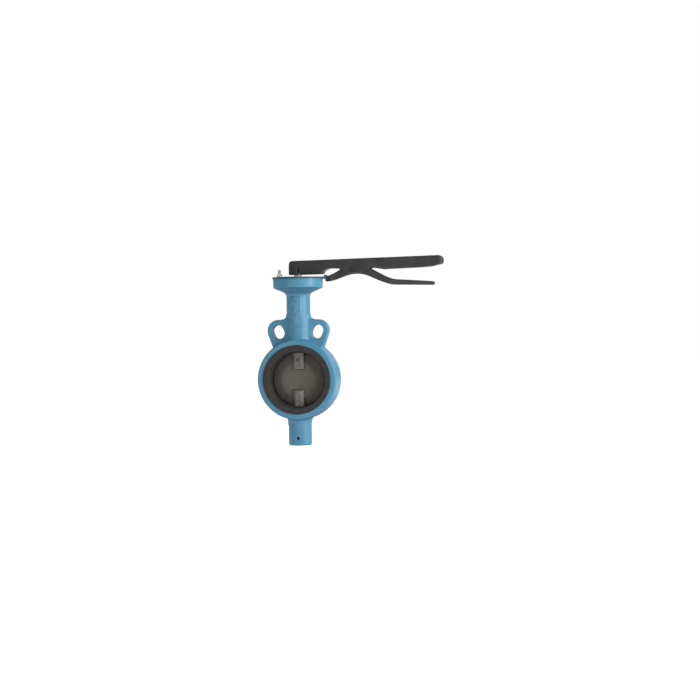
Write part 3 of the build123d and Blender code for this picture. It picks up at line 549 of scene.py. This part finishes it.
def vertex_normals(co, quads):
    """Unit normals from the quads round each vertex."""
    a, b, c, d = (co[quads[:, k]] for k in range(4))
    flat = np.cross(c - a, d - b)
    total = np.zeros_like(co)
    for k in range(4):
        for axis in range(3):
            total[:, axis] += np.bincount(quads[:, k], flat[:, axis], len(co))
    return total / np.maximum(np.linalg.norm(total, axis=1), 1e-20)[:, None]


def relaxed(co, edges, quads, rounds, share, fill_only=False):
    """Points drawn towards the mean of their neighbours; fill_only fills hollow corners alone."""
    first, second = edges.T
    count = np.bincount(first, minlength=len(co)) + np.bincount(second, minlength=len(co))
    for turn in range(rounds):
        mean = np.zeros_like(co)
        for axis in range(3):
            mean[:, axis] += np.bincount(first, co[second, axis], len(co))
            mean[:, axis] += np.bincount(second, co[first, axis], len(co))
        pull = (mean / count[:, None] - co) * (0.5 * share)[:, None]
        if fill_only:
            normal = vertex_normals(co, quads)
            outward = np.maximum((pull * normal).sum(1), 0)
            pull = normal * outward[:, None]
        co = co + pull
    return co


def skin(node, voxel, rounding, keep=None, fill=None, relief=None, ratio=0.5):
    """A cast skin over a CAD node: an even mesh with soft edges, filled corners and relief.

    rounding is a number of smoothing rounds, keep(co) the share of it that each point takes,
    fill a pair of rounds and share(co) for hollow corners, and relief(co, normal) moves points.
    """
    mesh = applied(frame["nodes"][node].data.copy(), ("REMESH", {"mode": "VOXEL", "voxel_size": voxel}))
    co = np.empty(len(mesh.vertices) * 3)
    mesh.vertices.foreach_get("co", co)
    co = co.reshape(-1, 3)
    edges = np.empty(len(mesh.edges) * 2, int)
    mesh.edges.foreach_get("vertices", edges)
    edges = edges.reshape(-1, 2)
    quads = np.empty(len(mesh.loops), int)
    mesh.loops.foreach_get("vertex_index", quads)
    quads = quads.reshape(-1, 4)
    if fill:
        rounds, share = fill
        co = relaxed(co, edges, quads, rounds, share(co), fill_only=True)
    share = np.ones(len(co)) if keep is None else keep(co)
    co = relaxed(co, edges, quads, rounding, share)
    if relief:
        co = relief(co, vertex_normals(co, quads))
    mesh.vertices.foreach_set("co", co.ravel())
    mesh.update()
    if ratio < 1:
        mesh = applied(mesh, ("DECIMATE", {"ratio": ratio}))
    mesh.shade_smooth()
    return mesh


def turned(name, at, rows, closed, sides=96):
    """A solid round a vertical axis through a point.

    Each row is a height and a radius; a radius may be a function of the angle.
    A closed section is a ring; an open one gets a flat end at each end.
    """
    angles = np.arange(sides) * 2 * math.pi / sides
    rings = []
    for height, radius in rows:
        out = radius(angles) if callable(radius) else np.full(sides, radius)
        ring = np.stack([out * np.cos(angles), out * np.sin(angles), np.full(sides, height)], 1)
        rings.append(ring)
    points = (np.concatenate(rings) + np.array(at)).tolist()
    faces = []
    for row in range(len(rows) if closed else len(rows) - 1):
        low, high = row * sides, (row + 1) % len(rows) * sides
        for k in range(sides):
            after = (k + 1) % sides
            faces.append((low + k, low + after, high + after, high + k))
    if not closed:
        faces.append(tuple(reversed(range(sides))))
        faces.append(tuple(range((len(rows) - 1) * sides, len(rows) * sides)))
    mesh = bpy.data.meshes.new(name)
    mesh.from_pydata(points, [], faces)
    mesh.update()
    mesh.shade_smooth()
    mesh.set_sharp_from_angle(angle=math.radians(28))
    return mesh


def hexagon(flats):
    """The radius of a hexagon, by angle, with a flat towards +X."""
    sector = math.pi / 3
    return lambda a: flats / 2 / np.cos((a + sector / 2) % sector - sector / 2)


def chamfered(shape, limit):
    """A hexagon's radius, cut back to a cone."""
    return lambda a: np.minimum(shape(a), limit)


def thread_rows(low, high, radius, per_turn=8):
    """Rows of a screw thread, each with its own turned section."""
    def section(height):
        def out(a):
            turn = (height / THREAD_PITCH - a / (2 * math.pi)) % 1
            return radius - THREAD_DEPTH * np.abs(2 * turn - 1)
        return out
    count = round((high - low) / THREAD_PITCH * per_turn)
    heights = [low + (high - low) * k / count for k in range(count + 1)]
    return [(height, section(height)) for height in heights]


def near(value, centre, half, soft):
    """1 where a value is within half of a centre, falling to 0 over soft."""
    return np.clip((half + soft - np.abs(value - centre)) / soft, 0, 1)


# ---- the pieces --------------------------------------------------------------
def body_fill(co):
    """Where the casting has wide fillets: round the feet of the necks and the ears."""
    x, y, z = co.T
    out = np.hypot(x, y)
    feet = near(out, 18 * MM, 8 * MM, 3 * MM) * near(np.abs(z), 60 * MM, 9 * MM, 4 * MM)
    webs = near(out, 18 * MM, 6 * MM, 3 * MM) * near(z, 76 * MM, 24 * MM, 4 * MM) * (np.abs(y) < 16 * MM)
    from_bore = np.hypot(x, z)
    ears = near(from_bore, 60 * MM, 7 * MM, 3 * MM) * near(np.abs(x), 36 * MM, 12 * MM, 3 * MM) * (z > 0)
    outside = from_bore > 52 * MM
    return np.maximum.reduce([feet, webs, ears]) * outside


def cast_pad(co, normal):
    """A blank raised pad down the front of the upper neck."""
    x, y, z = co.T
    share = near(x, 0, PAD_WIDTH_HALF, PAD_EDGE) * near(z, PAD_MIDDLE, PAD_HALF, PAD_EDGE)
    return co + normal * (PAD_RISE * share * (y < PAD_BACK_Y))[:, None]


def make_body():
    mesh = skin("valve_body", 0.8 * MM, 4, fill=(90, body_fill), relief=cast_pad, ratio=0.55)
    new_piece("body_casting", mesh, blue_epoxy(), "body", "body_paint", "valve_body")


def make_liner():
    mesh = skin("seat_liner", 0.6 * MM, 3, ratio=0.5)
    new_piece("liner_moulding", mesh, liner_rubber(), "body", "liner_rubber", "seat_liner")


def make_disc():
    mesh = skin("valve_disc", 0.5 * MM, 5, ratio=0.6)
    new_piece("disc_casting", mesh, disc_coat(), "lever", "disc_iron", "valve_disc")


def make_lever():
    mesh = skin("lever_arm", 0.6 * MM, 14, ratio=0.6)
    new_piece("lever_casting", mesh, black_paint("lever_black"), "lever", "lever_paint", "lever_arm")


def make_trigger():
    mesh = skin("latch_trigger", 0.42 * MM, 8, ratio=0.6)
    paint = black_paint("trigger_black", 1.4)
    new_piece("trigger_casting", mesh, paint, "trigger", "trigger_paint", "latch_trigger")


def make_notch_plate():
    mesh = skin("notch_plate", 0.36 * MM, 3, ratio=0.25)
    new_piece("plate_stamping", mesh, stamped_zinc(), "body", "zinc_steel", "notch_plate")


def make_plate_bolt(zinc):
    """Hexagon head under the flange, thread through the plate, rounded tip."""
    low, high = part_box("plate_bolt")
    at = ((low.x + high.x) / 2, 0, 0)
    flats = high.x - low.x
    six = hexagon(flats)
    washer_face = low.z + HEAD_HEIGHT
    rows = [
        (low.z, flats * 0.44),
        (low.z + 0.05 * MM, chamfered(six, flats * 0.49)),
        (low.z + 0.7 * MM, six),
        (washer_face - 0.4 * MM, six),
        (washer_face - 0.3 * MM, flats * 0.47),
        (washer_face, flats * 0.47),
        (washer_face, THREAD_R - THREAD_SLACK),
    ]
    rows += thread_rows(washer_face + 1 * MM, high.z - 0.9 * MM, THREAD_R - THREAD_SLACK)
    rows += [(high.z - 0.3 * MM, THREAD_R - 0.7 * MM), (high.z, THREAD_R - 1.1 * MM)]
    mesh = turned("bolt", at, rows, False)
    new_piece("plate_bolt_threaded", mesh, zinc, "body", "zinc_steel", "plate_bolt")


def nut_mesh(node):
    """A hexagon nut with both faces chamfered and a countersunk thread."""
    low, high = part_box(node)
    at = ((low.x + high.x) / 2, (low.y + high.y) / 2, 0)
    flats = high.x - low.x
    six = hexagon(flats)
    bore = THREAD_R + NUT_SLACK
    rows = [
        (low.z, bore + 0.5 * MM),
        (low.z, flats * 0.46),
        (low.z + 0.12 * MM, chamfered(six, flats * 0.50)),
        (low.z + 0.65 * MM, six),
        (high.z - 0.65 * MM, six),
        (high.z - 0.12 * MM, chamfered(six, flats * 0.50)),
        (high.z, flats * 0.46),
        (high.z, bore + 0.5 * MM),
        (high.z - 0.5 * MM, bore),
        (low.z + 0.5 * MM, bore),
    ]
    return turned(node, at, rows, True)


def make_nuts(zinc):
    new_piece("plate_nut_chamfered", nut_mesh("plate_nut"), zinc, "body", "zinc_steel", "plate_nut")
    new_piece("screw_nut_chamfered", nut_mesh("screw_nut"), zinc, "body", "zinc_steel", "screw_nut")


def make_washer(zinc):
    """A punched washer: rolled on one edge, sharp on the other."""
    low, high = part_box("plate_washer")
    at = ((low.x + high.x) / 2, 0, 0)
    outer = (high.x - low.x) / 2
    inner = THREAD_R + WASHER_SLACK
    roll = 0.3 * MM
    rows = [
        (low.z, inner),
        (low.z, outer - 0.05 * MM),
        (low.z + 0.05 * MM, outer),
        (high.z - roll, outer),
        (high.z - roll * 0.3, outer - roll * 0.3),
        (high.z, outer - roll),
        (high.z, inner + roll),
        (high.z - roll, inner),
    ]
    mesh = turned("washer", at, rows, True)
    new_piece("plate_washer_punched", mesh, zinc, "body", "zinc_steel", "plate_washer")


def make_small_parts(finishes):
    """Small pieces that keep their CAD shape, with their edges broken."""
    dull = zinc_plate("dull_pin", DULL_PIN, 0.55)
    for name, node, body, slot in DULL_PINS:
        new_piece(name, skin(node, DULL_PIN_VOXEL, 2, ratio=0.5), dull, body, slot, node)
    for name, node, voxel, body, slot in SMALL_PARTS:
        mesh = skin(node, voxel, 2, ratio=0.5)
        new_piece(name, mesh, finishes[slot], body, slot, node)


def make_spring(finish):
    """The latch spring: a round wire with closed ends, on a mesh of its own."""
    low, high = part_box("latch_spring")
    wire = SPRING_WIRE_R
    coil_r = (high.x - low.x) / 2 - wire
    centre = ((low.x + high.x) / 2, 0)
    span = high.z - low.z - 2 * wire
    around, steps = 10, 28
    points, faces = [], []
    count = int(SPRING_TURNS * steps) + 1
    open_turns = SPRING_TURNS - 2 * SPRING_CLOSED_TURNS
    for k in range(count):
        share = k / (count - 1)
        eased = min(max((share * SPRING_TURNS - SPRING_CLOSED_TURNS) / open_turns, 0), 1)
        angle = share * SPRING_TURNS * 2 * math.pi
        middle = Vector((centre[0] + coil_r * math.cos(angle), centre[1] + coil_r * math.sin(angle)))
        height = low.z + wire + span * eased
        for j in range(around):
            turn = j * 2 * math.pi / around
            out = Vector((math.cos(angle), math.sin(angle))) * wire * math.cos(turn)
            points.append((middle.x + out.x, middle.y + out.y, height + wire * math.sin(turn)))
    for k in range(count - 1):
        for j in range(around):
            after = (j + 1) % around
            low_row, high_row = k * around, (k + 1) * around
            faces.append((low_row + j, high_row + j, high_row + after, low_row + after))
    faces.append(tuple(range(around)))
    faces.append(tuple(reversed(range((count - 1) * around, count * around))))
    mesh = bpy.data.meshes.new("spring")
    mesh.from_pydata(points, [], faces)
    mesh.update()
    mesh.shade_smooth()
    piece = new_piece("latch_spring_coil", mesh, finish, "lever", "spring_steel", "latch_spring")
    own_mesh(piece)


def paint_cad_parts(finishes):
    """Finishes for the CAD nodes that stay as they are."""
    for part in frame["record"]["subparts"]:
        finish = finishes.get(part["material_slot"])
        node = frame["nodes"][part["node"]]
        if finish and not node.hide_render:
            node.data.materials.clear()
            node.data.materials.append(finish)


# ---- the scene ---------------------------------------------------------------
finishes = {
    "zinc_steel": zinc_plate("zinc"),
    "stainless_steel": zinc_plate("turned_stainless", STAINLESS, 0.30, (1, 1, 20)),
    "spring_steel": zinc_plate("spring_steel", SPRING_GREY, 0.36),
    "black_steel": zinc_plate("black_steel", BLACKENED, 0.46),
    "bronze": zinc_plate("bronze", BRONZE, 0.34, (1, 1, 20)),
    "seal_rubber": liner_rubber(),
}
place_camera()
light_studio()
lay_floor()
make_body()
make_liner()
make_disc()
make_lever()
make_trigger()
make_notch_plate()
make_plate_bolt(finishes["zinc_steel"])
make_nuts(finishes["zinc_steel"])
make_washer(finishes["zinc_steel"])
make_small_parts(finishes)
make_spring(finishes["spring_steel"])
paint_cad_parts(finishes)
